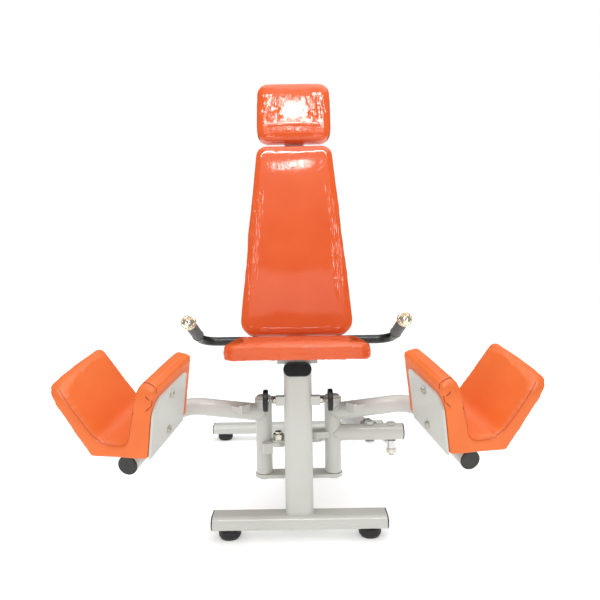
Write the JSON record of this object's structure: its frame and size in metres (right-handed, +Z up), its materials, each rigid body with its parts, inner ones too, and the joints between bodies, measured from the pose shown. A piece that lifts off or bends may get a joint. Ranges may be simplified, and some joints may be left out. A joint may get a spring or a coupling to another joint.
{
  "type": "hip abductor machine",
  "caption": "Seated hip abductor and adductor machine with padded leg cradles on swinging arms, a reclined padded back and headrest, side hand grips and a flat-oval tube frame.",
  "frame": {"origin": "centre of the machine's footprint box, on the floor", "axes": "+Z up, the user sits facing -Y, +X is to the right of somebody who looks at the machine's front"},
  "size_m": [1.2006, 1.3251, 1.4524],
  "materials": {
    "white_paint": "gloss powder coat",
    "oval_cap_black": "gloss",
    "foot_rubber": "matt",
    "seat_leather": "smooth, gloss",
    "cradle_leather": "smooth, satin",
    "backing_board": "stained plywood",
    "zinc_steel": "zinc plated",
    "bearing_bronze": "oiled bronze",
    "handle_black": "satin powder coat",
    "grip_rubber": "textured",
    "cap_chrome": "polished",
    "arm_cap_plastic": "satin",
    "lever_cap_plastic": "gloss",
    "stop_rubber": "matt",
    "cylinder_paint": "satin",
    "rod_chrome": "hard chrome",
    "dial_plastic": "satin"
  },
  "bodies": {
    "frame": {"back_upright": "white_paint", "backrest_board": "backing_board", "backrest_pad": "seat_leather", "column_tube": "white_paint", "cylinder_anchor": "white_paint", "front_base_tube": "white_paint", "handle_end_caps": "cap_chrome", "handle_grips": "grip_rubber", "headrest_board": "backing_board", "headrest_pad": "seat_leather", "headrest_plate": "white_paint", "left_handle_tube": "handle_black", "lower_pivot_plate": "white_paint", "oval_end_caps": "oval_cap_black", "pad_bolts": "zinc_steel", "pivot_bolts": "white_paint", "rear_base_tube": "white_paint", "rear_post": "white_paint", "right_handle_tube": "handle_black", "rubber_feet": "foot_rubber", "seat_beam": "white_paint", "seat_board": "backing_board", "seat_brackets": "white_paint", "seat_pad": "seat_leather", "spine_tube": "white_paint", "stop_lock_nuts": "zinc_steel", "stop_stubs": "white_paint", "upper_pivot_plate": "white_paint"},
    "right_arm": {"right_pivot_tube": "white_paint", "right_pivot_bushes": "bearing_bronze", "right_arm_tube": "white_paint", "right_arm_end_cap": "arm_cap_plastic", "right_cradle_pad": "cradle_leather", "right_cradle_plate": "white_paint", "right_cradle_bolts": "zinc_steel", "right_stop_lug": "white_paint", "right_link_lug": "white_paint", "right_link_bolt": "white_paint", "lever_tube": "white_paint", "lever_end_cap": "lever_cap_plastic", "lever_bolts": "white_paint", "lever_nut": "zinc_steel"},
    "left_arm": {"left_pivot_tube": "white_paint", "left_pivot_bushes": "bearing_bronze", "left_arm_tube": "white_paint", "left_arm_end_cap": "arm_cap_plastic", "left_cradle_pad": "cradle_leather", "left_cradle_plate": "white_paint", "left_cradle_bolts": "zinc_steel", "left_stop_lug": "white_paint", "left_link_lug": "white_paint", "left_link_bolt": "zinc_steel"},
    "tie_link": {"tie_link": "white_paint"},
    "cylinder_rod": {"cylinder_rod": "rod_chrome"},
    "cylinder_barrel": {"cylinder_barrel": "cylinder_paint"},
    "resistance_dial": {"resistance_dial": "dial_plastic"},
    "right_stop": {"right_stop_disc": "stop_rubber", "right_stop_screw": "zinc_steel"},
    "left_stop": {"left_stop_disc": "stop_rubber", "left_stop_screw": "zinc_steel"}
  },
  "joints": [
    {"name": "right_arm_swing", "type": "hinge", "parent": "frame", "child": "right_arm", "pos_m": [0.102, -0.246, 0.332], "axis": [0, 0, -1], "range_deg": [0, 38]},
    {"name": "left_arm_swing", "type": "hinge", "parent": "frame", "child": "left_arm", "pos_m": [-0.102, -0.246, 0.332], "axis": [0, 0, 1], "range_deg": [0, 38]},
    {"name": "tie_link_pivot", "type": "hinge", "parent": "left_arm", "child": "tie_link", "pos_m": [-0.0587, -0.271, 0.2563], "axis": [0, 0, -1], "range_deg": [0, 38]},
    {"name": "cylinder_eye_pivot", "type": "hinge", "parent": "right_arm", "child": "cylinder_rod", "pos_m": [0.276, -0.246, 0.234], "axis": [0, 0, 1], "range_deg": [0, 31.61]},
    {"name": "cylinder_stroke", "type": "slide", "parent": "cylinder_rod", "child": "cylinder_barrel", "axis": [-0.291, 0.9567, 0], "range_m": [0, 0.09548]},
    {"name": "resistance_dial_turn", "type": "hinge", "parent": "cylinder_barrel", "child": "resistance_dial", "pos_m": [0.276, -0.246, 0.234], "axis": [-0.291, 0.9567, 0], "range_deg": [0, 300]},
    {"name": "right_stop_adjust", "type": "slide", "parent": "frame", "child": "right_stop", "axis": [-1, 0, 0], "range_m": [0, 0.01]},
    {"name": "left_stop_adjust", "type": "slide", "parent": "frame", "child": "left_stop", "axis": [1, 0, 0], "range_m": [0, 0.01]}
  ],
  "couplings": [
    {"joint": "left_arm_swing", "follows": "right_arm_swing", "ratio": 1},
    {"joint": "tie_link_pivot", "follows": "right_arm_swing", "ratio": 1},
    {"joint": "cylinder_eye_pivot", "follows": "right_arm_swing", "ratio": 0.83184},
    {"joint": "cylinder_stroke", "follows": "right_arm_swing", "m_per_rad": 0.14394}
  ]
}
